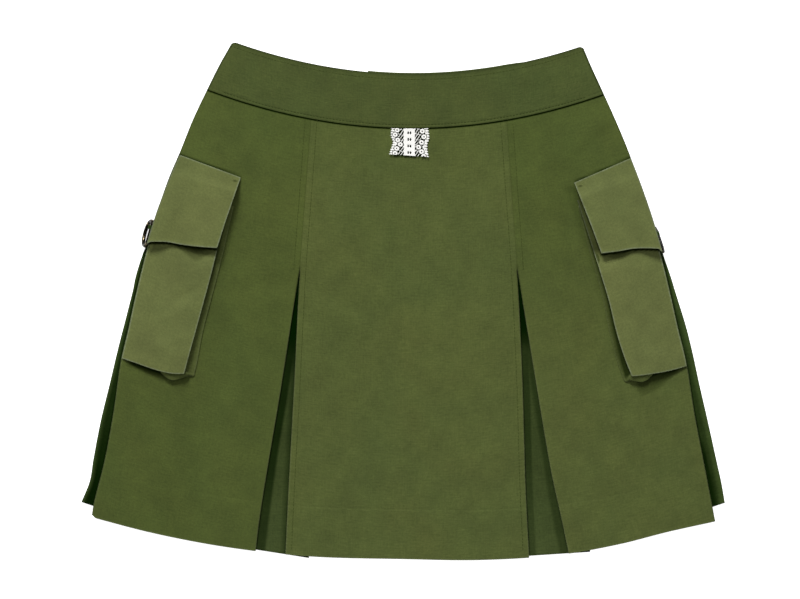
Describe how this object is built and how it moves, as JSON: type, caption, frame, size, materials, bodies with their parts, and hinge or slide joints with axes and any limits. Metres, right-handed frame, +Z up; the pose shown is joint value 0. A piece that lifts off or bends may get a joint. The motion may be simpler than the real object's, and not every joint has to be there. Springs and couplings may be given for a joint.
{
  "type": "cargo utility skirt",
  "caption": "Short flared utility skirt lying flat, front up: shaped waistband, inverted pleats, flapped bellows cargo pockets with swinging D-rings, lace tab at the waist.",
  "frame": {"origin": "centre of the outline, on the surface that the skirt lies on", "axes": "+X across the skirt to the wearer's left, +Y from hem to waistband, +Z up, out of the front"},
  "size_m": [0.5662, 0.4554, 0.0197],
  "materials": {
    "back_left": "matte woven cotton twill",
    "back_right": "matte woven cotton twill",
    "d_ring_left": "dark bronze plate, worn satin",
    "d_ring_right": "dark bronze plate, worn satin",
    "front_centre": "matte woven cotton twill",
    "front_side_left": "matte woven cotton twill",
    "front_side_right": "matte woven cotton twill",
    "front_underlay_left": "matte woven cotton twill",
    "front_underlay_right": "matte woven cotton twill",
    "lace_tab": "matte cotton lace",
    "pocket_face_left": "matte woven cotton twill",
    "pocket_face_right": "matte woven cotton twill",
    "pocket_flap_left": "matte woven cotton twill",
    "pocket_flap_right": "matte woven cotton twill",
    "pocket_gusset_left": "matte woven cotton twill",
    "pocket_gusset_right": "matte woven cotton twill",
    "ring_loop_left": "matte woven cotton twill",
    "ring_loop_right": "matte woven cotton twill",
    "side_underlay_left": "matte woven cotton twill",
    "side_underlay_right": "matte woven cotton twill",
    "waistband_back_left": "matte woven cotton twill",
    "waistband_back_right": "matte woven cotton twill",
    "waistband_front": "matte woven cotton twill"
  },
  "bodies": {
    "skirt": {"back_left": "back_left", "back_right": "back_right", "front_centre": "front_centre", "front_side_left": "front_side_left", "front_side_right": "front_side_right", "front_underlay_left": "front_underlay_left", "front_underlay_right": "front_underlay_right", "lace_tab": "lace_tab", "pocket_face_left": "pocket_face_left", "pocket_face_right": "pocket_face_right", "pocket_flap_left": "pocket_flap_left", "pocket_flap_right": "pocket_flap_right", "pocket_gusset_left": "pocket_gusset_left", "pocket_gusset_right": "pocket_gusset_right", "ring_loop_left": "ring_loop_left", "ring_loop_right": "ring_loop_right", "side_underlay_left": "side_underlay_left", "side_underlay_right": "side_underlay_right", "waistband_back_left": "waistband_back_left", "waistband_back_right": "waistband_back_right", "waistband_front": "waistband_front"},
    "ring_left": {"d_ring_left": "d_ring_left"},
    "ring_right": {"d_ring_right": "d_ring_right"}
  },
  "joints": [
    {"name": "ring_left_hinge", "type": "hinge", "parent": "skirt", "child": "ring_left", "pos_m": [-0.223, 0.0596, 0.012], "axis": [0.2672, 0.9636, 0], "range_deg": [0, 100]},
    {"name": "ring_right_hinge", "type": "hinge", "parent": "skirt", "child": "ring_right", "pos_m": [0.2252, 0.0542, 0.01305], "axis": [0.3256, -0.9455, 0], "range_deg": [0, 100]}
  ]
}
